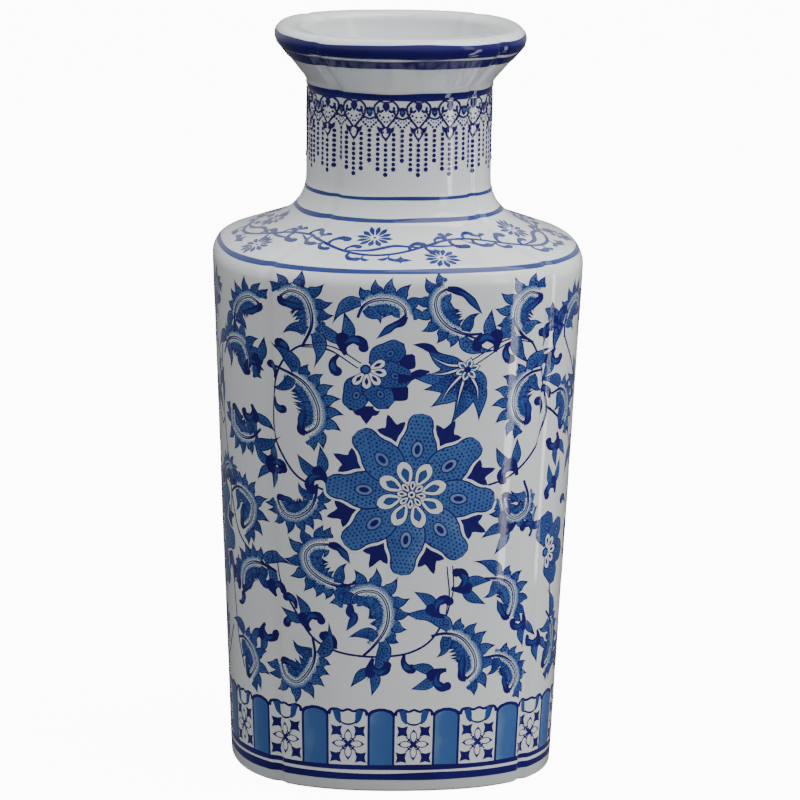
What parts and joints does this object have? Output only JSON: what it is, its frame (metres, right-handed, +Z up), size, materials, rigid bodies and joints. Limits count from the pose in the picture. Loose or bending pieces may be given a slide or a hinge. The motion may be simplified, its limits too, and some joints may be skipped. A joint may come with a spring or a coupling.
{
  "type": "porcelain vase",
  "caption": "Tall lobed porcelain vase with a tapering body, sloping shoulder, straight neck and rolled mouth, painted in cobalt blue under a clear glaze.",
  "frame": {"origin": "on the ground under the centre of the foot", "axes": "+Z up through the mouth, +X and +Y through the middles of two neighbouring panels, -Y towards the front panel"},
  "size_m": [0.1768, 0.1768, 0.3568],
  "materials": {
    "glazed_porcelain": "clear gloss glaze over cobalt blue painting",
    "bare_foot": "thinly glazed outside, wiped bare where it stands"
  },
  "bodies": {
    "root": {"foot_ring": "bare_foot", "base_floor": "glazed_porcelain", "body_wall": "glazed_porcelain", "shoulder": "glazed_porcelain", "neck": "glazed_porcelain", "mouth_lip": "glazed_porcelain"}
  },
  "joints": []
}
